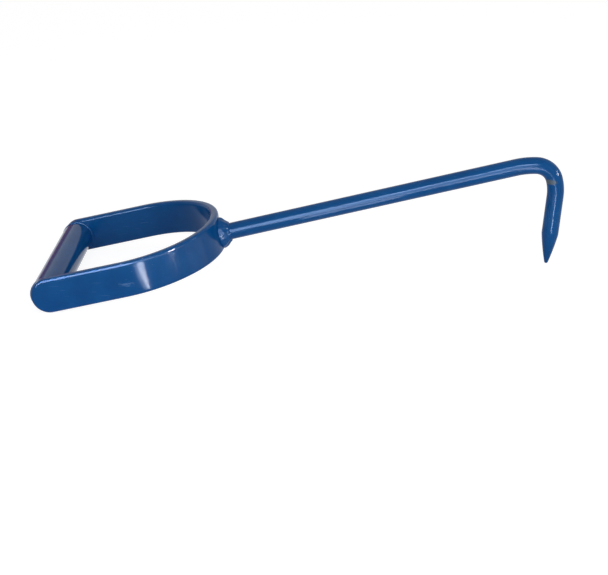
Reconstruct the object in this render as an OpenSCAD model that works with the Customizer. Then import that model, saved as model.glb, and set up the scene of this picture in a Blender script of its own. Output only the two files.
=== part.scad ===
// Root ball hook: a flat bar bent into a D shaped handle, a tube grip across its open end,
// and a round bar that is welded to the bow of the handle and bent over into a pointed hook.
// Millimetres. Each piece is built in the tool's own axes: X runs from the grip to the hook,
// Z is square to the flat of the D, and zero is on the bow's outer face at the middle of the bar.
// set_down() then lays the tool on the ground as it rests, on its two arm ends and its point.

/* [Handle bow] */
// Width of the flat bar that the bow is bent from
bar_w = 25; // [24:0.5:32]
// Thickness of the flat bar
bar_t = 6; // [4:0.5:8]
// Rounding along the long edges of the flat bar
bar_edge_r = 2; // [0.5:0.25:2.5]
// Outer radius of the bow
bow_r = 65; // [50:1:90]
// Straight run of each arm, from the end of the curve to the middle of the grip
arm_len = 54.8; // [30:0.2:100]
// How much nearer the bow the centre of an arm's round end lies than the middle of the grip
arm_end_inset = 2.3; // [0:0.1:3]

/* [Grip] */
// Outer diameter of the grip tube
grip_d = 22.5; // [18:0.5:24]
// Wall of the grip tube
grip_wall = 2; // [1.5:0.25:4]
// Size of the weld round each end of the grip
grip_weld = 1.2; // [0.6:0.1:2]
// Thickness of that weld behind the arm's end, where the grip stands out past the arm
grip_weld_skin = 0.3; // [0.2:0.05:0.6]

/* [Shank] */
// Diameter of the round bar
rod_d = 12; // [8:0.5:16]
// Straight run of the round bar, from the bow to the start of the bend
shank_len = 214; // [120:1:300]
// How far the shank meets the bow below the middle of the flat bar
shank_drop = 1.7; // [0:0.1:3]
// Rise of the shank out of the plane of the handle, in degrees
shank_cant = 0.75; // [0:0.25:4]
// How far the weld spreads over the bow from the shank
shank_weld_out = 4.8; // [2:0.1:6]
// How far the weld climbs along the shank
shank_weld_along = 6.5; // [3:0.25:10]
// How hollow the weld's slope is: 1 is round, and more makes it fall away faster from the bow
shank_weld_hollow = 2.5; // [1:0.25:3]

/* [Hook] */
// Radius of the gentle curve that leads into the bend, on the bar's centre line
lead_r = 56; // [30:1:90]
// Angle of the gentle curve that leads into the bend
lead_angle = 15; // [5:1:25]
// Radius of the tight bend, on the bar's centre line
bend_r = 13.5; // [13:0.5:30]
// Angle of the tight bend
bend_angle = 73.5; // [60:0.5:90]
// Radius of the curve that leads out of the bend into the leg
run_out_r = 36; // [20:1:60]
// Angle of the curve that leads out of the bend
run_out_angle = 20; // [5:1:25]
// Length of the leg, from the end of the curves to the tip
leg_len = 50.5; // [40:0.5:90]
// Length of the tapered point
point_len = 22.5; // [15:0.5:35]
// Slope of the point's side where the taper starts
point_start_angle = 8.6; // [4:0.2:12]
// Radius of the blunt tip
tip_r = 1.4; // [0.8:0.1:2.5]

/* [Hidden] */
$fn = 96;
paint = "#154a86";
paint_welds = "#1d4f8a";

rod_r = rod_d / 2;
grip_r = grip_d / 2;
inner_half = bow_r - bar_t;
arm_end_r = bar_w / 2;
edge_r = min(bar_edge_r, 0.45 * bar_t);
grip_x = -(bow_r + arm_len);
arm_end_x = grip_x + arm_end_inset;
// Roots of the grip's welds stop a little short of where the bar's rounding does
grip_weld_root = 0.9 * edge_r;
arm_side_clear = 0.1;
bend_step = 0.5;
bend_spare = 5;
foot_spare = 2;
bead_steps = 6;
side_steps = 10;
nose_steps = 8;

// Depth of the bow's round face below its tangent plane, at a distance y from the middle
function bow_sag(y) = bow_r - sqrt(bow_r * bow_r - y * y);

// The bar's centre line is followed as [x, z, angle], where the angle is how far it has turned down
shank_foot = [0, 0, 0];
function run(at, length) = [at[0] + length * cos(at[2]), at[1] - length * sin(at[2]), at[2]];
function turn(at, radius, angle) = [
    at[0] + radius * (sin(at[2] + angle) - sin(at[2])),
    at[1] + radius * (cos(at[2] + angle) - cos(at[2])),
    at[2] + angle
];
lead_start = run(shank_foot, shank_len);
bend_start = turn(lead_start, lead_r, lead_angle);
run_out_start = turn(bend_start, bend_r, bend_angle);
leg_start = turn(run_out_start, run_out_r, run_out_angle);
nose_centre = run(leg_start, leg_len - tip_r);

// Centre line after the bar has turned down by a whole angle of t
function share(t, before, angle) = min(max(t - before, 0), angle);
function bend_at(t) = turn(
    turn(
        turn(lead_start, lead_r, share(t, 0, lead_angle)),
        bend_r, share(t, lead_angle, bend_angle)),
    run_out_r, share(t, lead_angle + bend_angle, run_out_angle));

// A point of the centre line, in the tool's axes as [x, z]
function in_tool(at) = [
    at[0] * cos(shank_cant) - at[1] * sin(shank_cant),
    at[0] * sin(shank_cant) + at[1] * cos(shank_cant) - shank_drop
];

// The ground touches the round arm ends and the round tip, which sets the angle at rest
reach = in_tool(nose_centre) - [arm_end_x, 0];
rest_angle = asin((tip_r - arm_end_r) / norm(reach)) - atan2(reach[1], reach[0]);
function resting_x(p) = p[0] * cos(rest_angle) - p[1] * sin(rest_angle);
function resting_z(p) = p[0] * sin(rest_angle) + p[1] * cos(rest_angle);
rear_x = min(
    resting_x([arm_end_x, 0]) - arm_end_r,
    resting_x([grip_x, 0]) - grip_r - grip_weld_skin);
front_x = rod_r + max([
    for (t = [0 : bend_step : leg_start[2]]) resting_x(in_tool(bend_at(t)))
]);
ground_z = resting_z([arm_end_x, 0]) - arm_end_r;

// Slope of the point's side where it meets the tip, found by coming closer a few times
function tip_slope(slope, tries) = tries == 0 ? slope : tip_slope(
    2 * atan((rod_r - tip_r * cos(slope)) / (point_len - tip_r * (1 - sin(slope))))
        - point_start_angle,
    tries - 1);
point_end_angle = tip_slope(point_start_angle, 8);
side_curve = point_end_angle - point_start_angle;
side_start = [rod_r, leg_len - point_len];
side_end = [tip_r * cos(point_end_angle), leg_len - tip_r * (1 - sin(point_end_angle))];
side_chord = norm(side_end - side_start);

// The point's side is an arc that starts at the full radius; t runs from 0 to 1 along it
function side_point(t) =
    let (slope = point_start_angle + t * side_curve / 2,
         far = side_chord * sin(t * side_curve / 2) / sin(side_curve / 2))
    side_start + far * [-sin(slope), cos(slope)];
function nose_point(t) =
    let (slope = point_end_angle + t * (90 - point_end_angle))
    [tip_r * cos(slope), leg_len - tip_r * (1 - sin(slope))];

// Puts a piece from the tool's axes onto the ground
module set_down() {
    translate([-(rear_x + front_x) / 2, 0, -ground_z])
        rotate([0, -rest_angle, 0])
            children();
}

// The shank starts below the middle of the bow and rises a little
module along_shank() {
    translate([0, 0, -shank_drop])
        rotate([0, -shank_cant, 0])
            children();
}

// Turns what was made along Z to run along X
module along_x() {
    rotate([0, -90, 180])
        children();
}

// Moves to the far end of a bend that starts here and turns down
module past_bend(radius, angle) {
    translate([0, 0, -radius])
        rotate([0, angle, 0])
            translate([0, 0, radius])
                children();
}

// Cross section of the flat bar, thickness along X, with rounded edges
module bar_section() {
    square([bar_t - 2 * edge_r, bar_w], center = true);
    square([bar_t, bar_w - 2 * edge_r], center = true);
    for (x = [-1, 1], y = [-1, 1])
        translate([x * (bar_t / 2 - edge_r), y * (bar_w / 2 - edge_r)])
            circle(edge_r);
}

// The flat bar bent on its broad face round the knuckles' side of the hand
module bow_curve() {
    translate([-bow_r, 0, 0])
        rotate([0, 0, -90])
            rotate_extrude(angle = 180, $fn = 180)
                translate([bow_r - bar_t / 2, 0])
                    bar_section();
}

// A straight arm and its round end
module arm(side) {
    translate([arm_end_x, side * (bow_r - bar_t / 2), 0]) {
        rotate([90, 0, 90])
            linear_extrude(arm_len - arm_end_inset)
                bar_section();
        rotate([90, 90, 0])
            rotate([0, 0, 180])
                arm_end();
    }
}

// Half a disc with the bar's section
module arm_end() {
    rotate_extrude(angle = 180)
        intersection() {
            rotate(90)
                bar_section();
            translate([0, -bar_t])
                square([bar_w, 2 * bar_t]);
        }
}

module bow_solid() {
    bow_curve();
    arm(-1);
    arm(1);
}

module handle_bow() {
    color(paint)
        set_down()
            bow_solid();
}

// The grip's ends are square and butt against the arms' inner faces
module grip_tube() {
    color(paint)
        set_down()
            translate([grip_x, 0, 0])
                rotate([90, 0, 0])
                    difference() {
                        cylinder(h = 2 * inner_half, r = grip_r, center = true);
                        cylinder(h = 2 * inner_half + 2, r = grip_r - grip_wall, center = true);
                    }
}

// Part of a ring of round bar that runs along X here and bends down, between two angles of turn
module bent_ring(radius, from, to) {
    translate([0, 0, -radius])
        rotate([90, 0, 0])
            rotate_extrude(start = 90 - to, angle = to - from, $fn = 360)
                translate([radius, 0])
                    circle(rod_r, $fn = 96);
}

// A block that starts on a square cut across the bar here and takes what lies ahead of it
module cut_ahead() {
    translate([0, -rod_d, -rod_d])
        cube([rod_d, 2 * rod_d, 2 * rod_d]);
}

// A bend of the bar, made a little too long and cut square where the next stretch starts
module bar_bend(radius, angle) {
    difference() {
        bent_ring(radius, 0, angle + bend_spare);
        past_bend(radius, angle)
            cut_ahead();
    }
}

// The same, but square to the next stretch as made and cut where it starts
module bar_bend_to_leg(radius, angle) {
    difference() {
        past_bend(radius, angle)
            bent_ring(radius, -angle - bend_spare, 0);
        mirror([1, 0, 0])
            cut_ahead();
    }
}

// The straight leg and its point, turned as one profile
module bar_leg() {
    along_x()
        rotate_extrude()
            polygon(concat(
                [[0, 0], [rod_r, 0]],
                [for (i = [0 : side_steps]) side_point(i / side_steps)],
                [for (i = [1 : nose_steps - 1]) nose_point(i / nose_steps)],
                [[0, leg_len]]));
}

// The round bar from its foot, with each stretch placed at the end of the one before
module bar_run() {
    translate([-foot_spare, 0, 0])
        along_x()
            cylinder(h = shank_len + foot_spare, r = rod_r);
    translate([shank_len, 0, 0]) {
        bar_bend(lead_r, lead_angle);
        past_bend(lead_r, lead_angle) {
            bar_bend(bend_r, bend_angle);
            past_bend(bend_r, bend_angle) {
                bar_bend_to_leg(run_out_r, run_out_angle);
                past_bend(run_out_r, run_out_angle)
                    bar_leg();
            }
        }
    }
}

// One round bar: its foot is cut to sit on the bow, and its other end is bent over and pointed
module hook_bar() {
    color(paint)
        set_down()
            difference() {
                along_shank()
                    bar_run();
                translate([-bow_r, 0, 0])
                    cylinder(h = bar_w, r = bow_r, center = true, $fn = 360);
            }
}

// Section of a weld bead round a bar or tube of radius r that stands on a face at zero.
// Its root reaches below zero, to fill up to a face that curves away, and may go under the tube's
// wall. With hollow at 1 the bead bulges evenly.
module bead_section(r, out, along, root, under = 0, hollow = 1) {
    polygon(concat(
        [[r, 0], [r - under, 0], [r - under, -root], [r + out, -root]],
        [for (i = [0 : bead_steps])
            let (a = 90 * i / bead_steps)
            [r + out * pow(cos(a), hollow), along * sin(a)]]));
}

module shank_weld() {
    color(paint_welds)
        set_down()
            difference() {
                along_shank()
                    rotate([0, 90, 0])
                        rotate_extrude()
                            bead_section(rod_r, shank_weld_out, shank_weld_along,
                                root = bow_sag(rod_r + shank_weld_out) + edge_r / 2,
                                hollow = shank_weld_hollow);
                bow_solid();
            }
}

// What a grip's weld may cover: the arm's side, and a thin layer round the grip past the arm's end
module grip_weld_cover() {
    translate([arm_end_inset, 0]) {
        circle(arm_end_r - arm_side_clear);
        translate([0, arm_side_clear - arm_end_r])
            square([grip_r + grip_weld, 2 * (arm_end_r - arm_side_clear)]);
    }
    circle(grip_r + grip_weld_skin);
}

module grip_weld_bead(side) {
    set_down()
        difference() {
            translate([grip_x, side * inner_half, 0])
                rotate([side * 90, 0, 0])
                    intersection() {
                        rotate_extrude()
                            bead_section(grip_r, grip_weld, grip_weld, grip_weld_root,
                                under = grip_wall);
                        translate([0, 0, -bar_t])
                            linear_extrude(2 * bar_t)
                                grip_weld_cover();
                    }
            bow_solid();
        }
}

module near_grip_weld() {
    color(paint_welds)
        grip_weld_bead(-1);
}

module far_grip_weld() {
    color(paint_welds)
        grip_weld_bead(1);
}

handle_bow();
grip_tube();
hook_bar();
shank_weld();
near_grip_weld();
far_grip_weld();
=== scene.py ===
import math

import bmesh
import bpy
from mathutils import Matrix, Vector, noise


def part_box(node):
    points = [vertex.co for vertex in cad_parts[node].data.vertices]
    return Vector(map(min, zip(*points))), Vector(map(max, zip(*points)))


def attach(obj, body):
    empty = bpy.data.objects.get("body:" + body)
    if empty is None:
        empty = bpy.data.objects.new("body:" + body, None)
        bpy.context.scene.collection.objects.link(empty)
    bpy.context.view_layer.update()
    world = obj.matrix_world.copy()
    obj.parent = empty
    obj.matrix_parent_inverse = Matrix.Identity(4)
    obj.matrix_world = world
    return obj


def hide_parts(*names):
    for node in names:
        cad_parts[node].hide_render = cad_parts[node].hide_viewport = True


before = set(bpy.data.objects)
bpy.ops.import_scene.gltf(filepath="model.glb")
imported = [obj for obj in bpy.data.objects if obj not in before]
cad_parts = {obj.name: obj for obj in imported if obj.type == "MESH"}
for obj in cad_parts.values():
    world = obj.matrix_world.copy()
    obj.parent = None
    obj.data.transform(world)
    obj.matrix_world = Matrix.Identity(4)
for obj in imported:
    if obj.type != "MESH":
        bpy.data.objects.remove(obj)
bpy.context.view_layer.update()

MM = 0.001

# The flat bar and the D that it is bent into
BAR_W = 25 * MM
BAR_T = 6 * MM
BAR_EDGE_R = 2 * MM
BOW_R = 65 * MM
ARM_LEN = 54.8 * MM
ARM_END_INSET = 2.3 * MM
BOW_MID_R = BOW_R - BAR_T / 2
GRIP_X = -(BOW_R + ARM_LEN)
ARM_END_X = GRIP_X + ARM_END_INSET
INNER_HALF = BOW_R - BAR_T
# How far the middle of the bar's broad faces sinks in where the bar is bent, and the length over
# which the hollow starts
BOW_HOLLOW = 0.22 * MM
BOW_HOLLOW_RUN = 16 * MM
# The bar's faces wave a little, in long waves and in short ones. All of it lies a trifle inside
# the exact bar, so that no wave stands out of it.
BOW_WAVE_LEN, BOW_WAVE = 26 * MM, 0.05 * MM
BOW_RIPPLE_LEN, BOW_RIPPLE = 7 * MM, 0.008 * MM
INSET = 0.03 * MM

# The grip tube. It reaches a little way into the arms.
GRIP_R = 11.25 * MM
GRIP_WALL = 2 * MM
GRIP_SEAT = 0.2 * MM
GRIP_WAVE_LEN, GRIP_WAVE = 19 * MM, 0.05 * MM

# The round bar
ROD_R = 6 * MM
SHANK_LEN = 214 * MM
SHANK_DROP = 1.7 * MM
SHANK_CANT = math.radians(0.75)
LEAD_R = 56 * MM
LEAD_ANGLE = math.radians(15)
BEND_R = 13.5 * MM
BEND_ANGLE = math.radians(73.5)
RUN_OUT_R = 36 * MM
RUN_OUT_ANGLE = math.radians(20)
LEG_LEN = 50.5 * MM
POINT_LEN = 22.5 * MM
POINT_START_ANGLE = math.radians(8.6)
TIP_R = 1.4 * MM
# How far the bar reaches back into the bow
FOOT_SPARE = 1.2 * MM
HOOK_WAVE_LEN, HOOK_WAVE = 60 * MM, 0.03 * MM

# The camera, found from the outlines of the tool in the photograph
CAMERA_AT = Vector((81.59, -1088.81, 415.58)) * MM
CAMERA_AIM = Vector((-0.54, 0, -12.65)) * MM
CAMERA_ROLL = math.radians(-3.51)
CAMERA_LENS = 95.6
CAMERA_SENSOR = 36


def run(at, length):
    """The end of a straight stretch that starts at [x, z, how far the bar has turned down]."""
    x, z, angle = at
    return x + length * math.cos(angle), z - length * math.sin(angle), angle


def turn(at, radius, by):
    """The end of a bend that starts at [x, z, how far the bar has turned down]."""
    x, z, angle = at
    return (
        x + radius * (math.sin(angle + by) - math.sin(angle)),
        z + radius * (math.cos(angle + by) - math.cos(angle)),
        angle + by,
    )


def from_shank(point):
    """A point in the axes of the shank, in the axes of the tool."""
    x, y, z = point
    c, s = math.cos(SHANK_CANT), math.sin(SHANK_CANT)
    return Vector((x * c - z * s, y, x * s + z * c - SHANK_DROP))


def resting_angle():
    """The tool stands on its two round arm ends and on its round tip."""
    at = run((0, 0, 0), SHANK_LEN)
    at = turn(at, LEAD_R, LEAD_ANGLE)
    at = turn(at, BEND_R, BEND_ANGLE)
    at = turn(at, RUN_OUT_R, RUN_OUT_ANGLE)
    x, z, _ = run(at, LEG_LEN - TIP_R)
    reach = from_shank((x, 0, z)) - Vector((ARM_END_X, 0, 0))
    return math.asin((TIP_R - BAR_W / 2) / reach.length) - math.atan2(reach.z, reach.x)


def laid_down():
    """The matrix from the tool's axes to the frame, where the middle of the grip is known."""
    low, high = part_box("grip_tube")
    turned = Matrix.Rotation(-resting_angle(), 4, "Y")
    grip = turned @ Vector((GRIP_X, 0, 0))
    return Matrix.Translation((low + high) / 2 - grip) @ turned


LAY_DOWN = laid_down()


def lay_down(point):
    """A point in the axes of the tool, in the frame."""
    return LAY_DOWN @ Vector(point)


def arc(centre, radius, start, end, steps):
    """Points along an arc in a plane, from one angle to another."""
    return [
        (centre[0] + radius * math.cos(a), centre[1] + radius * math.sin(a))
        for a in (start + (end - start) * i / steps for i in range(steps + 1))
    ]


def smooth(t):
    """0 up to 0, 1 from 1 on, and a smooth rise from one to the other."""
    t = min(max(t, 0), 1)
    return t * t * (3 - 2 * t)


def waver(point, size, seed):
    """A gentle unevenness from -1 to 1, the same at each run."""
    return noise.noise(Vector(point) / size + Vector((seed, seed * 0.7, -seed)))


def put(name, data):
    """A new object in the scene."""
    made = bpy.data.objects.new(name, data)
    bpy.context.scene.collection.objects.link(made)
    return made


# Points nearer to each other than this become one point, and edges shorter than this go
SAME_POINT = 0.0005 * MM
SLIVER = 0.0002 * MM


class Skin:
    """A mesh that is put together from sheets of points, with how much of an edge each point is."""

    def __init__(self):
        self.bm = bmesh.new()
        self.edge = self.bm.verts.layers.float.new("edge")

    def sheet(self, rows, closed=False):
        """Joins rows of (point, edge) with quads. In a closed sheet each row is a ring."""
        made = []
        for row in rows:
            made.append([])
            for point, edge in row:
                vert = self.bm.verts.new(point)
                vert[self.edge] = edge
                made[-1].append(vert)
        for a, b in zip(made, made[1:]):
            count = len(a)
            for i in range(count if closed else count - 1):
                j = (i + 1) % count
                self.bm.faces.new((a[i], a[j], b[j], b[i]))

    def piece(self, name, material, slot, node):
        """Merges the sheets into one closed skin, and makes it a piece that stands for a node."""
        bmesh.ops.remove_doubles(self.bm, verts=self.bm.verts, dist=SAME_POINT)
        bmesh.ops.dissolve_degenerate(self.bm, edges=self.bm.edges, dist=SLIVER)
        self.bm.transform(LAY_DOWN)
        bmesh.ops.recalc_face_normals(self.bm, faces=self.bm.faces)
        mesh = bpy.data.meshes.new(name)
        self.bm.to_mesh(mesh)
        self.bm.free()
        mesh.shade_smooth()
        mesh.materials.append(material)
        finish_piece(put(name, mesh), node)


def finish_piece(piece, node):
    """Says what a piece rides on, and which node it stands for."""
    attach(piece, "root")
    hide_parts(node)


# The bow

# Steps round each of the bar's edges, across each half of a face, round an arm's end, along an arm
# and along the curve
EDGE_STEPS = 7
FACE_STEPS = 14
END_STEPS = 40
ARM_STEPS = 30
CURVE_STEPS = 132


def bar_half_section():
    """The upper half of the flat bar's section, from the middle of its outer face over the edge to
    the middle of its inner face, as (out, up, edge), where edge is 1 on the rounded corners."""
    out, up = BAR_T / 2, BAR_W / 2
    corner_out, corner_up = out - BAR_EDGE_R, up - BAR_EDGE_R
    half = [(out, corner_up * i / FACE_STEPS, 0) for i in range(FACE_STEPS)]
    for centre, start in ((corner_out, 0), (-corner_out, math.pi / 2)):
        for i, (x, z) in enumerate(
            arc((centre, corner_up), BAR_EDGE_R, start, start + math.pi / 2, EDGE_STEPS)
        ):
            half.append((x, z, math.sin(math.pi * i / EDGE_STEPS)))
    half += [(-out, corner_up * i / FACE_STEPS, 0) for i in reversed(range(FACE_STEPS))]
    return half


def arm_path(side):
    """Stations along one arm, from its round end to where the curve starts."""
    stations = []
    for i in range(ARM_STEPS):
        x = ARM_END_X + (ARM_LEN - ARM_END_INSET) * i / ARM_STEPS
        stations.append((Vector((x, side * BOW_MID_R, 0)), Vector((0, side, 0)), 0))
    return stations


def bow_path():
    """Stations along the bar, as (middle of the bar, the way out of the D, how far it is bent)."""
    stations = arm_path(-1)
    for i in range(CURVE_STEPS + 1):
        a = math.pi * (i / CURVE_STEPS - 0.5)
        out = Vector((math.cos(a), math.sin(a), 0))
        along = BOW_MID_R * min(a + math.pi / 2, math.pi / 2 - a)
        middle = Vector((-BOW_R, 0, 0)) + out * BOW_MID_R
        stations.append((middle, out, smooth(along / BOW_HOLLOW_RUN)))
    return stations + arm_path(1)[::-1]


def make_bow(material):
    skin = Skin()
    half = bar_half_section()
    ring = half + [(out, -up, edge) for out, up, edge in reversed(half[1:-1])]

    def point(middle, out_way, up_way, out, up, bent):
        sink = BOW_HOLLOW * bent * (1 - (2 * up / BAR_W) ** 2)
        at = middle + out_way * (out - sink) + up_way * up
        wave = waver(at, BOW_WAVE_LEN, seed=3.1) * BOW_WAVE
        wave += waver(at, BOW_RIPPLE_LEN, seed=8.2) * BOW_RIPPLE
        return at + out_way * (wave * (1 if out > 0 else -1) - INSET)

    up_way = Vector((0, 0, 1))
    skin.sheet(
        [
            [(point(middle, out_way, up_way, out, up, bent), edge) for out, up, edge in ring]
            for middle, out_way, bent in bow_path()
        ],
        closed=True,
    )
    for side in (-1, 1):
        middle, out_way = Vector((ARM_END_X, side * BOW_MID_R, 0)), Vector((0, side, 0))
        rows = []
        for i in range(END_STEPS + 1):
            a = math.pi * i / END_STEPS
            way = Vector((-math.sin(a), 0, math.cos(a)))
            rows.append([(point(middle, out_way, way, out, up, 0), edge) for out, up, edge in half])
        skin.sheet(rows)
    skin.piece("bow", material, "blue_paint", "handle_bow")


# The grip

GRIP_ROUND = 96
GRIP_ALONG = 72


def make_grip(material):
    """A tube, slightly uneven from its rolling. Its square ends are hidden in the arms."""
    skin = Skin()
    end = INNER_HALF + GRIP_SEAT

    def ring(y, radius, uneven):
        made = []
        for i in range(GRIP_ROUND):
            a = 2 * math.pi * i / GRIP_ROUND
            way = Vector((math.cos(a), 0, math.sin(a)))
            at = Vector((GRIP_X, y, 0)) + way * radius
            off = (waver(at, GRIP_WAVE_LEN, seed=5.4) * GRIP_WAVE - INSET) * uneven
            made.append((at + way * off, 0))
        return made

    outer = [ring(-end + 2 * end * i / GRIP_ALONG, GRIP_R, 1) for i in range(GRIP_ALONG + 1)]
    bore = [ring(end, GRIP_R - GRIP_WALL, 0), ring(-end, GRIP_R - GRIP_WALL, 0)]
    skin.sheet(outer + bore + outer[:1], closed=True)
    skin.piece("grip", material, "blue_paint", "grip_tube")


# The round bar and its hook

ROD_SIDES = 96
STRAIGHT_STEP = 3 * MM
BEND_STEP = 0.6 * MM
POINT_STEPS = 30
NOSE_STEPS = 14
# The last ring, at the very tip, isn't quite a point. Its points are then merged into one.
LEAST_R = 0.0004 * MM
TIP_MERGE = 0.002 * MM
# The noise runs from 0 to 1 about a half. Taking off more than a half keeps the bar inside its
# size.
WAVE_ZERO = 0.6
# Rounds of coming closer, more than enough for the last digit
SLOPE_ROUNDS = 8


def tip_slope():
    """Slope of the point's side where it meets the round tip, found by coming closer."""
    slope = POINT_START_ANGLE
    for _ in range(SLOPE_ROUNDS):
        rise = ROD_R - TIP_R * math.cos(slope)
        length = POINT_LEN - TIP_R * (1 - math.sin(slope))
        slope = 2 * math.atan(rise / length) - POINT_START_ANGLE
    return slope


def bar_stations():
    """Distances along the straightened bar, with the bar's radius there, down to the round tip."""
    end_slope = tip_slope()
    bends = LEAD_R * LEAD_ANGLE + BEND_R * BEND_ANGLE + RUN_OUT_R * RUN_OUT_ANGLE
    total = SHANK_LEN + bends + LEG_LEN
    stations = []

    def stretch(start, end, step):
        count = max(1, round((end - start) / step))
        for i in range(count):
            stations.append((start + (end - start) * i / count, ROD_R))

    stretch(-FOOT_SPARE, SHANK_LEN, STRAIGHT_STEP)
    stretch(SHANK_LEN, SHANK_LEN + bends, BEND_STEP)
    stretch(SHANK_LEN + bends, total - POINT_LEN, STRAIGHT_STEP)
    side_r = (ROD_R - TIP_R * math.cos(end_slope)) / (
        math.cos(POINT_START_ANGLE) - math.cos(end_slope)
    )
    for i in range(POINT_STEPS):
        slope = POINT_START_ANGLE + (end_slope - POINT_START_ANGLE) * i / POINT_STEPS
        along = side_r * (math.sin(slope) - math.sin(POINT_START_ANGLE))
        thinner = side_r * (math.cos(POINT_START_ANGLE) - math.cos(slope))
        stations.append((total - POINT_LEN + along, ROD_R - thinner))
    for i in range(NOSE_STEPS + 1):
        slope = end_slope + (math.pi / 2 - end_slope) * i / NOSE_STEPS
        stations.append((total - TIP_R * (1 - math.sin(slope)), TIP_R * math.cos(slope)))
    return stations


class Nodes:
    """A Geometry Nodes tree with named inputs."""

    def __init__(self, name):
        self.tree = bpy.data.node_groups.new(name, "GeometryNodeTree")

    def socket(self, name, kind, way="INPUT"):
        return self.tree.interface.new_socket(name, in_out=way, socket_type=kind)

    def add(self, kind, settings=None, inputs=None):
        made = self.tree.nodes.new(kind)
        for key, value in (settings or {}).items():
            setattr(made, key, value)
        for key, value in (inputs or {}).items():
            if isinstance(value, bpy.types.NodeSocket):
                self.tree.links.new(value, made.inputs[key])
            else:
                made.inputs[key].default_value = value
        return made

    def math(self, operation, *values):
        made = self.add("ShaderNodeMath", {"operation": operation}, dict(enumerate(values)))
        return made.outputs[0]


def bend_group():
    """Bends a mesh that lies along X: past a place it turns down through an angle at a radius."""
    g = Nodes("bend a bar")
    g.socket("Geometry", "NodeSocketGeometry")
    for name in ("Start", "Radius", "Angle"):
        g.socket(name, "NodeSocketFloat")
    g.socket("Geometry", "NodeSocketGeometry", "OUTPUT")
    given = g.add("NodeGroupInput").outputs
    start, radius, angle = given["Start"], given["Radius"], given["Angle"]
    place = g.add(
        "ShaderNodeSeparateXYZ", inputs={0: g.add("GeometryNodeInputPosition").outputs[0]}
    ).outputs
    past = g.math("SUBTRACT", place["X"], start)
    turned = g.math("MINIMUM", g.math("MAXIMUM", g.math("DIVIDE", past, radius), 0.0), angle)
    straight = g.math("SUBTRACT", past, g.math("MULTIPLY", radius, turned))
    far = g.math("ADD", radius, place["Z"])
    sine, cosine = g.math("SINE", turned), g.math("COSINE", turned)
    x = g.math(
        "ADD",
        start,
        g.math("ADD", g.math("MULTIPLY", far, sine), g.math("MULTIPLY", straight, cosine)),
    )
    z = g.math(
        "SUBTRACT",
        g.math("SUBTRACT", g.math("MULTIPLY", far, cosine), radius),
        g.math("MULTIPLY", straight, sine),
    )
    moved = g.add("ShaderNodeCombineXYZ", inputs={"X": x, "Y": place["Y"], "Z": z}).outputs[0]
    shaped = g.add(
        "GeometryNodeSetPosition", inputs={"Geometry": given["Geometry"], "Position": moved}
    )
    g.add("NodeGroupOutput", inputs={"Geometry": shaped.outputs[0]})
    return g.tree


def hook_nodes(material):
    """Sweeps a circle along the straight bar at the radius of each station, then bends the bar,
    the last bend first, as each one carries what lies past it."""
    g = Nodes("round bar bent into a hook")
    g.socket("Geometry", "NodeSocketGeometry")
    g.socket("Sides", "NodeSocketInt")
    g.socket("Unevenness", "NodeSocketFloat")
    for bend in ("Lead", "Bend", "Run out"):
        for size in ("start", "radius", "angle"):
            g.socket(f"{bend} {size}", "NodeSocketFloat")
    g.socket("Geometry", "NodeSocketGeometry", "OUTPUT")
    given = g.add("NodeGroupInput").outputs
    line = g.add("GeometryNodeMeshToCurve", inputs={"Mesh": given["Geometry"]}).outputs[0]
    radius = g.add(
        "GeometryNodeInputNamedAttribute", {"data_type": "FLOAT"}, {"Name": "bar radius"}
    )
    circle = g.add(
        "GeometryNodeCurvePrimitiveCircle", inputs={"Resolution": given["Sides"], "Radius": 1.0}
    ).outputs[0]
    bar = g.add(
        "GeometryNodeCurveToMesh",
        inputs={
            "Curve": line,
            "Profile Curve": circle,
            "Scale": radius.outputs[0],
            "Fill Caps": True,
        },
    ).outputs[0]
    bar = g.add(
        "GeometryNodeMergeByDistance", inputs={"Geometry": bar, "Distance": TIP_MERGE}
    ).outputs[0]
    wave = g.add("ShaderNodeTexNoise", inputs={"Scale": 1 / HOOK_WAVE_LEN, "Detail": 1.0})
    centred = g.math("SUBTRACT", wave.outputs[0], WAVE_ZERO)
    off = g.math("MULTIPLY", centred, given["Unevenness"])
    normal = g.add("GeometryNodeInputNormal").outputs[0]
    push = g.add(
        "ShaderNodeVectorMath", {"operation": "SCALE"}, {0: normal, "Scale": off}
    ).outputs[0]
    bar = g.add("GeometryNodeSetPosition", inputs={"Geometry": bar, "Offset": push}).outputs[0]
    bend = bend_group()
    for name in ("Run out", "Bend", "Lead"):
        bar = g.add(
            "GeometryNodeGroup",
            {"node_tree": bend},
            {
                "Geometry": bar,
                "Start": given[f"{name} start"],
                "Radius": given[f"{name} radius"],
                "Angle": given[f"{name} angle"],
            },
        ).outputs[0]
    bar = g.add("GeometryNodeSetShadeSmooth", inputs={"Geometry": bar}).outputs[0]
    bar = g.add("GeometryNodeRealizeInstances", inputs={"Geometry": bar}).outputs[0]
    bar = g.add("GeometryNodeSetMaterial", inputs={"Geometry": bar, "Material": material})
    g.add("NodeGroupOutput", inputs={"Geometry": bar.outputs[0]})
    return g.tree


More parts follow.
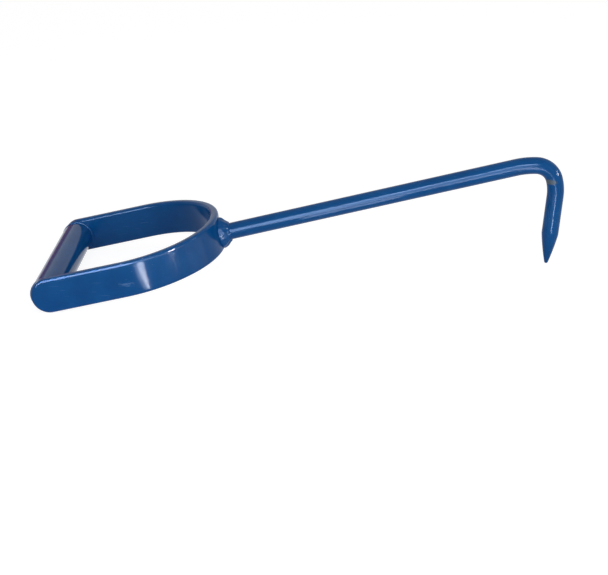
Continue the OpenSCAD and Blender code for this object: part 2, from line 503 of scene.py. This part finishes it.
def make_hook(material):
    stations = bar_stations()
    line = bpy.data.meshes.new("bar line")
    line.from_pydata(
        [(along, 0, 0) for along, _ in stations],
        [(i, i + 1) for i in range(len(stations) - 1)],
        [],
    )
    radii = line.attributes.new("bar radius", "FLOAT", "POINT")
    radii.data.foreach_set("value", [max(r, LEAST_R) for _, r in stations])
    holder = put("bar line", line)
    modifier = holder.modifiers.new("hook", "NODES")
    modifier.node_group = hook_nodes(material)
    bend_start = SHANK_LEN + LEAD_R * LEAD_ANGLE
    sizes = {
        "Sides": ROD_SIDES,
        "Unevenness": HOOK_WAVE,
        "Lead start": SHANK_LEN,
        "Lead radius": LEAD_R,
        "Lead angle": LEAD_ANGLE,
        "Bend start": bend_start,
        "Bend radius": BEND_R,
        "Bend angle": BEND_ANGLE,
        "Run out start": bend_start + BEND_R * BEND_ANGLE,
        "Run out radius": RUN_OUT_R,
        "Run out angle": RUN_OUT_ANGLE,
    }
    for item in modifier.node_group.interface.items_tree:
        if item.in_out == "INPUT" and item.name in sizes:
            modifier[item.identifier] = sizes[item.name]
    shaped = holder.evaluated_get(bpy.context.evaluated_depsgraph_get())
    mesh = bpy.data.meshes.new_from_object(shaped)
    mesh.name = "hook"
    bpy.data.objects.remove(holder)
    cant = Matrix.Translation((0, 0, -SHANK_DROP)) @ Matrix.Rotation(-SHANK_CANT, 4, "Y")
    mesh.transform(LAY_DOWN @ cant)
    bm = bmesh.new()
    bm.from_mesh(mesh)
    bmesh.ops.recalc_face_normals(bm, faces=bm.faces)
    bm.to_mesh(mesh)
    bm.free()
    finish_piece(put("hook", mesh), "hook_bar")


# The welds

# Steps round each bead
BEAD_ROUND = 180

# The shank's weld: steps across it, and how far it reaches out over the bow and along the bar
BEAD_ACROSS = 30
WELD_OUT = 4.4 * MM
WELD_ALONG = 6.6 * MM
# Its second, smaller turn: its height, its place across the bead, and its width
TURN_H, TURN_AT, TURN_W = 0.5 * MM, 0.72, 0.13
RIPPLES, RIPPLE_LEAN, RIPPLE_H = 13, 2.6, 0.2 * MM
# Lumps, which are lower at the bead's rims, and a finer grain
LUMP_SIZE, LUMP_H, LUMP_AT_RIM = 3.6 * MM, 0.75 * MM, 0.3
GRAIN_SIZE, GRAIN_H = 1.3 * MM, 0.12 * MM
# How unevenly it reaches out: here and there round the bar, more above it, and a little more below
REACH_WAVE_SIZE, REACH_WAVE = 0.8, 0.08
REACH_ABOVE, REACH_BELOW = 0.3, 0.12
# How deep its outer rim, its inner rim and its root are sunk in the steel
OUTER_SINK, INNER_SINK, ROOT_SINK = 0.1 * MM, 0.05 * MM, 0.4 * MM

# The grip's welds: each bead is a little smaller than the exact one, to leave room for its lumps
GRIP_BEAD = 1.25 * MM
GRIP_BEAD_OUT, GRIP_BEAD_LONG = GRIP_BEAD * 0.86, GRIP_BEAD * 0.95
GRIP_BEAD_STEPS = 10
GRIP_RIPPLES, GRIP_RIPPLE_LEAN, GRIP_RIPPLE_H = 34, 2, 0.06 * MM
GRIP_LUMP_SIZE, GRIP_LUMP_H = 0.35, 0.14 * MM
# Its layer on the tube where it is dressed back, how far it keeps from the arm's edge, and from
# which slope on the arm's straight edges can bound it
WELD_SKIN = 0.25 * MM
WELD_EDGE_CLEAR = 0.1 * MM
EDGE_SLOPE = 0.5
# Its root between tube and arm: the radius of the root, how far out its foot is, how deep it goes
# into the arm, and how its far corner is cut
ROOT_R = GRIP_R - GRIP_WALL * 0.9
GRIP_FOOT = GRIP_BEAD * 0.8
GRIP_ROOT = 1.7 * MM
FOOT_CUT, FOOT_LIP = 0.5 * MM, 0.1 * MM


def bow_face(y, z):
    """How far along X the bow's outer face lies, off its highest point."""
    hollow = BOW_HOLLOW * (1 - (2 * z / BAR_W) ** 2)
    return math.sqrt(max(BOW_R**2 - y * y, 0)) - BOW_R - max(hollow, 0)


def shank_bead_section(t):
    """The bead's profile from the bow (t 0) to the bar (t 1), as (out from the bar, along it).
    It was laid in two turns: a broad one on the bow, and a small one up against the bar."""
    a = math.pi / 2 * t
    second = TURN_H * math.exp(-(((t - TURN_AT) / TURN_W) ** 2))
    return WELD_OUT * math.cos(a) ** 3 + second, WELD_ALONG * math.sin(a)


def make_shank_weld(material):
    """One hand laid bead round the foot of the bar: ripples that lean along it, and a few lumps."""
    skin = Skin()
    rows = []
    for i in range(BEAD_ROUND):
        a = 2 * math.pi * i / BEAD_ROUND
        way = Vector((0, math.cos(a), math.sin(a)))
        row = []
        for j in range(BEAD_ACROSS + 1):
            t = j / BEAD_ACROSS
            out, along = shank_bead_section(t)
            middle = math.sin(math.pi * t)
            ripple = math.sin(RIPPLES * a + RIPPLE_LEAN * middle) * RIPPLE_H * middle
            at = way * (ROD_R + out) + Vector((along, 0, 0))
            lump = waver(at, LUMP_SIZE, seed=1.7) * LUMP_H
            lump *= LUMP_AT_RIM + (1 - LUMP_AT_RIM) * middle
            fine = waver(at, GRAIN_SIZE, seed=6.6) * GRAIN_H * middle
            reach = 1 + REACH_WAVE * waver(way, REACH_WAVE_SIZE, seed=2.2)
            reach += REACH_ABOVE * max(way.z, 0) ** 3 + REACH_BELOW * max(-way.z, 0) ** 2
            r = ROD_R + max(out * reach + (ripple + lump + fine) * (1 - t**4), -INNER_SINK)
            flat = way * r
            point = from_shank((along, flat.y, flat.z))
            if j == 0:
                point.x = bow_face(point.y, point.z) - OUTER_SINK
            else:
                point.x += bow_face(point.y, point.z) * (1 - t) ** 2
            row.append((point, 0))
        inner = ROD_R - ROOT_SINK
        for along in (row[-1][0].x, -ROOT_SINK):
            point = from_shank((along, inner * way.y, inner * way.z))
            row.append((point, 0))
        rows.append(row + row[:1])
    skin.sheet(rows + rows[:1])
    skin.piece("shank_bead", material, "blue_paint_on_weld", "shank_weld")


def arm_edge_from_grip(way):
    """How far the arm's round end reaches from the grip's centre line, less a little."""
    r = BAR_W / 2 - WELD_EDGE_CLEAR
    return ARM_END_INSET * way.x + math.sqrt(r * r - (ARM_END_INSET * way.z) ** 2)


def make_grip_weld(name, node, side, material):
    """A small even bead between the grip tube and an arm. Behind the arm's end it is dressed back
    to a thin layer on the tube, and fills the corner that the arm's rounded edge leaves."""
    skin = Skin()
    rows = []
    for i in range(BEAD_ROUND):
        a = 2 * math.pi * i / BEAD_ROUND
        way = Vector((math.cos(a), 0, math.sin(a)))
        cover = max(arm_edge_from_grip(way), GRIP_R + WELD_SKIN) if way.x < 0 else BAR_W / 2
        most = min(cover, (BAR_W / 2 - WELD_EDGE_CLEAR) / max(abs(way.z), EDGE_SLOPE))
        row = []
        for j in range(GRIP_BEAD_STEPS + 1):
            b = math.pi / 2 * j / GRIP_BEAD_STEPS
            middle = math.sin(2 * b)
            ripple = math.sin(GRIP_RIPPLES * a + GRIP_RIPPLE_LEAN * middle) * GRIP_RIPPLE_H * middle
            lump = waver(way, GRIP_LUMP_SIZE, seed=4.0 + side) * GRIP_LUMP_H
            out = GRIP_BEAD_OUT * math.cos(b)
            out += (ripple + lump) * (1 - (j / GRIP_BEAD_STEPS) ** 3)
            row.append((min(GRIP_R + out, most), INNER_HALF - GRIP_BEAD_LONG * math.sin(b)))
        foot = min(GRIP_R + GRIP_FOOT, most)
        row += [
            (GRIP_R - ROOT_SINK, INNER_HALF - GRIP_BEAD),
            (ROOT_R, INNER_HALF + INNER_SINK),
            (ROOT_R, INNER_HALF + GRIP_ROOT),
            (foot - FOOT_CUT, INNER_HALF + GRIP_ROOT),
            (foot - FOOT_LIP, INNER_HALF + GRIP_ROOT - ROOT_SINK),
            (foot, INNER_HALF + ROOT_SINK),
        ]
        ring = [(Vector((GRIP_X, side * y, 0)) + way * r, 0) for r, y in row]
        rows.append(ring + ring[:1])
    skin.sheet(rows + rows[:1])
    skin.piece(name, material, "blue_paint_on_weld", node)


# Materials

# The sockets of a Mix node that mixes colours. Sockets of one name can only be told by number.
MIX_SHARE, MIX_A, MIX_B, MIX_RESULT = 0, 6, 7, 2


class Signal:
    """What comes out of one socket of a shader node. Arithmetic on it adds Math nodes."""

    def __init__(self, sheet, socket):
        self.sheet = sheet
        self.socket = socket

    def math(self, operation, a, b):
        return self.sheet.node("ShaderNodeMath", {"operation": operation}, {0: a, 1: b})

    def __add__(self, other):
        return self.math("ADD", self, other)

    def __radd__(self, other):
        return self.math("ADD", other, self)

    def __sub__(self, other):
        return self.math("SUBTRACT", self, other)

    def __rsub__(self, other):
        return self.math("SUBTRACT", other, self)

    def __mul__(self, other):
        return self.math("MULTIPLY", self, other)

    def most(self, other):
        return self.math("MAXIMUM", self, other)

    def least(self, other):
        return self.math("MINIMUM", self, other)

    def between(self, low, high):
        """0 below low, 1 above high, and a smooth rise from one to the other."""
        return self.sheet.node(
            "ShaderNodeMapRange",
            {"interpolation_type": "SMOOTHSTEP"},
            {"Value": self, "From Min": low, "From Max": high},
        )


class Sheet:
    """The node sheet of one material or of the world."""

    def __init__(self, tree):
        self.tree = tree
        tree.nodes.clear()

    def node(self, kind, settings=None, inputs=None, output=0):
        made = self.tree.nodes.new(kind)
        for key, value in (settings or {}).items():
            setattr(made, key, value)
        for key, value in (inputs or {}).items():
            if isinstance(value, Signal):
                self.tree.links.new(value.socket, made.inputs[key])
            else:
                made.inputs[key].default_value = value
        return Signal(self, made.outputs[output]) if made.outputs else None

    def place(self):
        return self.node("ShaderNodeTexCoord", output="Object")

    def grain(self, size, detail, rough, place=None):
        """Noise whose lumps are about size wide, from 0 to 1."""
        return self.node(
            "ShaderNodeTexNoise",
            inputs={
                "Vector": place or self.place(),
                "Scale": 1 / size,
                "Detail": detail,
                "Roughness": rough,
            },
        )

    def stretched(self, turn, scale):
        """Coordinates that are turned and then stretched, for marks that run one way."""
        return self.node(
            "ShaderNodeMapping", inputs={"Vector": self.place(), "Rotation": turn, "Scale": scale}
        )

    def near(self, centre, radii):
        """1 at a place on the tool, falling to 0 at the given distances along X, Y and Z."""
        kind = "ShaderNodeVectorMath"
        centre = tuple(lay_down(centre))
        off = self.node(kind, {"operation": "SUBTRACT"}, {0: self.place(), 1: centre})
        off = self.node(kind, {"operation": "DIVIDE"}, {0: off, 1: tuple(radii)})
        far = self.node(kind, {"operation": "LENGTH"}, {0: off}, output="Value")
        return 1 - far.least(1)

    def mixed(self, share, a, b):
        """Colour a where share is 0, b where it is 1."""
        a, b = (c if isinstance(c, Signal) else (*c, 1) for c in (a, b))
        inputs = {MIX_SHARE: share, MIX_A: a, MIX_B: b}
        return self.node("ShaderNodeMix", {"data_type": "RGBA"}, inputs, output=MIX_RESULT)


def new_material(name):
    """A material, and the sheet that its nodes go on."""
    material = bpy.data.materials.new(name)
    material.use_nodes = True
    return material, Sheet(material.node_tree)


# The enamel's colours, from thick paint to worn paint, and what shows in its marks
BLUE = (0.0015, 0.072, 0.25)
BLUE_THICK = (0.001, 0.056, 0.2)
BLUE_THIN = (0.004, 0.088, 0.28)
BLUE_WORN = (0.03, 0.12, 0.33)
SCUFF = (0.1, 0.2, 0.4)
STEEL = (0.2, 0.2, 0.21)
RUST = (0.11, 0.055, 0.03)
GRIME = (0.085, 0.105, 0.1)

# Places on the tool where the paint is marked, and how far each mark reaches
SCUFF_AT, SCUFF_REACH = Vector((-62, -65, -3)) * MM, Vector((11, 6, 3)) * MM
BEND_RUB_AT, BEND_RUB_REACH = Vector((236, -4, -13.2)) * MM, Vector((6.5, 6, 3.2)) * MM
# The place on the bend that catches the light. Its paint is whole.
GLINT_AT, GLINT_REACH = Vector((243.8, -4, -10.6)) * MM, Vector((6, 6, 6)) * MM

# How wide the lumps in each kind of unevenness are
BROAD_SIZE = 22 * MM
FINE_SIZE = 1.6 * MM
WEAR_SIZE = 5 * MM
SCUFF_SIZE = 1.2 * MM
SCRATCH_SIZE = 0.5 * MM
FLAW_SIZE = 2.1 * MM
PEEL_SIZE = 1.4 * MM
# How the noise of scuffs and scratches is turned and stretched, so that they run one way
SCUFF_TURN, SCUFF_STRETCH = (0, 0, 0.2), (0.35, 1, 1.6)
SCRATCH_TURN, SCRATCH_STRETCH = (0.2, 0.9, 0.4), (0.03, 1, 1)

# Where on its unevenness each mark starts, and where it is full
THIN_PAINT = (0.3, 0.72)
WORN = (0.45, 0.7)
SCUFFED = (0.7, 1.0)
RUBBED = (0.4, 0.8)
SCRATCHED = (0.88, 0.93)
RUST_RIM = (0.81, 0.835)
CHIPPED = (0.83, 0.845)

# What shifts the marks: the scuff is drawn to its place and the rub is broken up, scratches and
# flaws come sooner where the broad unevenness is high, and flaws sooner on the edges but not at
# the glint
SCUFF_PULL, RUB_BREAK, SCRATCH_BROAD = 0.5, 0.5, 0.35
FLAW_EDGE, FLAW_BROAD, FLAW_GLINT = 0.1, 0.1, 0.3

# How much of its colour each unevenness and each mark lays over the paint
EVEN_SHARE, THICK_SHARE, WORN_SHARE = 0.5, 0.3, 0.35
SCUFF_SHARE, RUB_SHARE, SCRATCH_SHARE = 0.4, 0.8, 0.4
# How much the broad and the fine unevenness, the edges and the marks roughen the paint
BROAD_ROUGH, FINE_ROUGH, EDGE_ROUGH = 0.05, 0.03, 0.12
RIM_ROUGH, SCUFF_ROUGH, RUB_ROUGH = 0.35, 0.25, 0.3
# How high the peel and the fine unevenness stand, and how deep the marks are, in bump distances
PEEL_HEIGHT, FINE_HEIGHT, CHIP_DEPTH, SCRATCH_DEPTH = 0.14, 0.02, 3, 0.06

# The gloss of the enamel. The bead's paint is less smooth.
PAINT_ROUGH, BEAD_ROUGH = 0.1, 0.26
PAINT_BUMP, BEAD_BUMP = 0.012 * MM, 0.03 * MM
BUMP_STRENGTH = 0.3
PAINT_IOR = 1.5
PAINT_SHINE = 0.1
CHIP_METAL = 0.8


def enamel(name, on_bead=False):
    """Glossy blue enamel over steel, a little uneven, rubbed thin and chipped along its edges."""
    material, s = new_material(name)
    edge = s.node("ShaderNodeAttribute", {"attribute_name": "edge"}, output="Fac")

    broad = s.grain(BROAD_SIZE, detail=3, rough=0.55)
    fine = s.grain(FINE_SIZE, detail=2, rough=0.6)
    colour = s.mixed(broad.between(*THIN_PAINT), BLUE_THICK, BLUE_THIN)
    colour = s.mixed(EVEN_SHARE, colour, BLUE)
    colour = s.mixed(fine * THICK_SHARE, colour, BLUE_THICK)
    worn = (edge * s.grain(WEAR_SIZE, detail=3, rough=0.6)).between(*WORN)
    colour = s.mixed(worn * WORN_SHARE, colour, BLUE_WORN)

    along = s.stretched(SCUFF_TURN, SCUFF_STRETCH)
    streaky = s.grain(SCUFF_SIZE, detail=3, rough=0.65, place=along)
    scuff = (s.near(SCUFF_AT, SCUFF_REACH) * SCUFF_PULL + streaky).between(*SCUFFED)
    colour = s.mixed(scuff * SCUFF_SHARE, colour, SCUFF)

    rubbed = (s.near(BEND_RUB_AT, BEND_RUB_REACH) + fine * RUB_BREAK).between(*RUBBED)
    colour = s.mixed(rubbed * RUB_SHARE, colour, GRIME)

    along = s.stretched(SCRATCH_TURN, SCRATCH_STRETCH)
    scratch = s.grain(SCRATCH_SIZE, detail=2, rough=0.5, place=along)
    scratched = (scratch + broad * SCRATCH_BROAD).between(*SCRATCHED)
    colour = s.mixed(scratched * SCRATCH_SHARE, colour, SCUFF)

    flaw = s.grain(FLAW_SIZE, detail=4, rough=0.7) + edge * FLAW_EDGE + broad * FLAW_BROAD
    flaw = flaw - s.near(GLINT_AT, GLINT_REACH) * FLAW_GLINT
    chip = flaw.between(*CHIPPED)
    rim = flaw.between(*RUST_RIM)
    colour = s.mixed(rim, colour, RUST)
    colour = s.mixed(chip, colour, STEEL)

    peel = s.grain(PEEL_SIZE, detail=1, rough=0.5)
    height = peel * PEEL_HEIGHT + fine * FINE_HEIGHT - chip * CHIP_DEPTH - scratched * SCRATCH_DEPTH
    bump = s.node(
        "ShaderNodeBump",
        inputs={
            "Strength": BUMP_STRENGTH,
            "Distance": BEAD_BUMP if on_bead else PAINT_BUMP,
            "Height": height,
        },
    )
    rough = (BEAD_ROUGH if on_bead else PAINT_ROUGH) + broad * BROAD_ROUGH + fine * FINE_ROUGH
    rough = rough + edge * EDGE_ROUGH + rim * RIM_ROUGH + scuff * SCUFF_ROUGH + rubbed * RUB_ROUGH
    shader = s.node(
        "ShaderNodeBsdfPrincipled",
        inputs={
            "Base Color": colour,
            "Roughness": rough,
            "Metallic": chip * CHIP_METAL,
            "IOR": PAINT_IOR,
            "Specular IOR Level": PAINT_SHINE,
            "Normal": bump,
        },
    )
    s.node("ShaderNodeOutputMaterial", inputs={"Surface": shader})
    return material


# Studio

WHITE = (1, 1, 1)
FLOOR_SIZE = 12
# How light the paper is where it lights the tool, and where it is seen, with its own glow there
FLOOR_WHITE = (0.8, 0.8, 0.8)
FLOOR_SEEN = (0.25, 0.25, 0.25)
FLOOR_GLOW = 0.9
WORLD_LIGHT = 0.35


def seen_white(s):
    """1 for what the camera sees, also what it sees mirrored in the tool or through it."""
    camera, glossy, through = (
        s.node("ShaderNodeLightPath", output=f"Is {ray} Ray")
        for ray in ("Camera", "Glossy", "Transmission")
    )
    return camera.most(glossy).most(through)


def make_world():
    world = bpy.data.worlds.new("studio")
    bpy.context.scene.world = world
    world.use_nodes = True
    s = Sheet(world.node_tree)
    seen = seen_white(s)
    sky = s.node(
        "ShaderNodeBackground",
        inputs={"Color": (*WHITE, 1), "Strength": WORLD_LIGHT + seen * (1 - WORLD_LIGHT)},
    )
    s.node("ShaderNodeOutputWorld", inputs={"Surface": sky})


def make_floor():
    """White paper. Where it is seen, most of its white is its own glow, so the shadow is soft."""
    material, s = new_material("white paper")
    seen = seen_white(s)
    lit = s.mixed(seen, FLOOR_WHITE, FLOOR_SEEN)
    paper = s.node("ShaderNodeBsdfDiffuse", inputs={"Color": lit})
    own = seen * FLOOR_GLOW
    glow = s.node("ShaderNodeEmission", inputs={"Color": (*WHITE, 1), "Strength": own})
    both = s.node("ShaderNodeAddShader", inputs={0: paper, 1: glow})
    s.node("ShaderNodeOutputMaterial", inputs={"Surface": both})
    half = FLOOR_SIZE / 2
    mesh = bpy.data.meshes.new("floor")
    mesh.from_pydata(
        [(-half, -half, 0), (half, -half, 0), (half, half, 0), (-half, half, 0)], [], [(0, 1, 2, 3)]
    )
    mesh.materials.append(material)
    put("floor", mesh)


def softbox(name, at, aim, size, radiance):
    """A flat lamp whose face has a given brightness, where 1 is white. Its own face isn't mirrored
    in the paint: what the paint mirrors is on the cards."""
    lamp = bpy.data.lights.new(name, "AREA")
    lamp.shape = "RECTANGLE"
    lamp.size, lamp.size_y = size
    lamp.energy = radiance * math.pi * size[0] * size[1]
    made = put(name, lamp)
    made.location = at
    made.rotation_euler = (Vector(aim) - Vector(at)).to_track_quat("-Z", "Y").to_euler()
    made.visible_camera = False
    made.visible_glossy = False


def card(name, corners, radiance, colour=WHITE, one_sided=False):
    """A card that shows only where the paint mirrors it, and lights nothing. A one sided card is
    clear when it is seen from behind."""
    material, s = new_material(name)
    glow = s.node("ShaderNodeEmission", inputs={"Color": (*colour, 1), "Strength": radiance})
    if one_sided:
        behind = s.node("ShaderNodeNewGeometry", output="Backfacing")
        clear = s.node("ShaderNodeBsdfTransparent")
        glow = s.node("ShaderNodeMixShader", inputs={0: behind, 1: glow, 2: clear})
    s.node("ShaderNodeOutputMaterial", inputs={"Surface": glow})
    mesh = bpy.data.meshes.new(name)
    mesh.from_pydata([Vector(c) for c in corners], [], [tuple(range(len(corners)))])
    mesh.materials.append(material)
    made = put(name, mesh)
    made.visible_camera = False
    made.visible_diffuse = False
    made.visible_shadow = False


# How far in front of the tool the window stands, and how high a card lies above the floor
WINDOW_Y = -0.9
CARD_LIFT = 0.003


def in_window(x0, x1, z0, z1, lean=0):
    """Corners of a card in the window, square to Y. Its top may be shifted along X."""
    return [
        (x0, WINDOW_Y, z0),
        (x1, WINDOW_Y, z0),
        (x1 + lean, WINDOW_Y, z1),
        (x0 + lean, WINDOW_Y, z1),
    ]


def turned_to_grip(x, y0, y1, z0, z1):
    """Corners of a card that stands square to X and faces the grip."""
    return [(x, y0, z0), (x, y0, z1), (x, y1, z1), (x, y1, z0)]


def turned_to_hook(*place):
    """Corners of a card that stands square to X and faces the hook."""
    return turned_to_grip(*place)[::-1]


def facing(at, azimuth, elevation, far, width, height):
    """Corners of a card that faces a place from far off. Azimuth is counted in degrees from the
    front, which is -Y, towards +X."""
    azimuth, elevation = math.radians(azimuth), math.radians(elevation)
    look = Vector((
        math.sin(azimuth) * math.cos(elevation),
        -math.cos(azimuth) * math.cos(elevation),
        math.sin(elevation),
    ))
    across = Vector((math.cos(azimuth), math.sin(azimuth), 0)) * width / 2
    up = across.cross(look).normalized() * height / 2
    middle = Vector(at) + look * far
    return [middle - across - up, middle + across - up, middle + across + up, middle - across + up]


def lying(*places):
    """Corners of a card that lies just above the floor."""
    return [(x, y, CARD_LIFT) for x, y in places]


SKY_BLUE = (0.5, 0.7, 1.0)
WINDOW_BLUE = (0.75, 0.85, 1.0)
STREAK_BLUE = (0.9, 0.94, 1.0)
SHED_BROWN = (0.35, 0.1, 0.12)


def make_lamps():
    softbox("key", at=(-0.08, -0.7, 0.22), aim=(-0.08, 0, 0.1), size=(0.95, 0.36), radiance=2.4)
    softbox("side", at=(0.7, -0.45, 0.3), aim=(-0.03, 0, 0.03), size=(0.5, 0.5), radiance=2.2)
    softbox("overhead", at=(0, -0.1, 1.5), aim=(0, 0, 0), size=(1.2, 0.8), radiance=0.35)


def make_cards():
    """What the paint mirrors: a window in parts, and small things for the single highlights. Each
    card has its corners, its radiance and its colour."""
    card("window", in_window(-0.5, -0.08, 0, 0.62, lean=0.06), 34, SKY_BLUE)
    card("window side", in_window(-0.08, 0.22, 0, 0.48, lean=0.03), 14, SKY_BLUE)
    card("window top", in_window(-0.14, 0.32, 0.52, 0.68), 60, SKY_BLUE)
    far_edge = (-0.12, WINDOW_Y), (0.24, WINDOW_Y)
    near_edge = (0.2, -0.4), (0.18, -0.2), (0.02, -0.21), (-0.06, -0.2)
    card("window foot", lying(*far_edge, *near_edge), 26, WINDOW_BLUE)

    # The highlight on the shank beside its weld. A black card hides the sill from the leg.
    sill = [(0.075, -0.066, 0.003), (0, -0.05, 0.003), (0, -0.05, 0.026), (0.075, -0.066, 0.034)]
    card("window sill", sill, 22, WINDOW_BLUE, one_sided=True)
    card("sill blind", turned_to_hook(0.085, -0.075, -0.02, 0.003, 0.06), 0, one_sided=True)

    # The streak down the near face, with a fainter side
    streak = lying((-0.084, -0.172), (-0.061, -0.176), (-0.085, -0.108), (-0.0878, -0.109))
    side = lying((-0.095, -0.165), (-0.084, -0.172), (-0.0878, -0.109), (-0.092, -0.109))
    card("streak", streak, 72, STREAK_BLUE)
    card("streak side", side, 17, STREAK_BLUE)

    # The line down the leg
    leg = lying((0.168, -0.18), (0.204, -0.16), (0.191, -0.055), (0.175, -0.055))
    card("leg line", leg, 32, WINDOW_BLUE)

    # The line along the upper edge of the near arm
    low_edge = (-0.2, -0.09, 0.0175), (-0.11, -0.09, 0.0335)
    high_edge = (-0.12, -0.08, 0.0575), (-0.2, -0.08, 0.0425)
    card("edge line", [*low_edge, *high_edge], 48, WINDOW_BLUE)

    # The small highlights on the bend and on the bow, with the haze on the bow
    glint = facing(lay_down(GLINT_AT), azimuth=75, elevation=12, far=0.12, width=0.034, height=0.03)
    card("bend glint", glint, 52)
    card("bow glint", turned_to_grip(0, -0.118, -0.099, 0.0212, 0.06), 210, one_sided=True)
    card("bow haze", turned_to_grip(0, -0.062, -0.012, 0.003, 0.03), 2, one_sided=True)

    # Something dark behind the tool, which the grip mirrors
    shed = facing((-0.175, 0, 0.012), azimuth=-157, elevation=7.5, far=0.8, width=0.2, height=0.22)
    card("dark shed", shed, 1, SHED_BROWN)


def make_camera():
    data = bpy.data.cameras.new("camera")
    data.sensor_width = CAMERA_SENSOR
    data.lens = CAMERA_LENS
    camera = put("camera", data)
    camera.location = CAMERA_AT
    turned = (CAMERA_AIM - CAMERA_AT).to_track_quat("-Z", "Y").to_matrix().to_4x4()
    camera.rotation_euler = (turned @ Matrix.Rotation(CAMERA_ROLL, 4, "Z")).to_euler()
    bpy.context.scene.camera = camera


def main():
    paint = enamel("blue enamel")
    bead_paint = enamel("blue enamel on weld", on_bead=True)
    make_bow(paint)
    make_grip(paint)
    make_hook(paint)
    make_shank_weld(bead_paint)
    make_grip_weld("near_grip_bead", "near_grip_weld", -1, bead_paint)
    make_grip_weld("far_grip_bead", "far_grip_weld", 1, bead_paint)
    make_world()
    make_floor()
    make_lamps()
    make_cards()
    make_camera()
    bpy.context.scene.view_settings.view_transform = "Standard"


main()
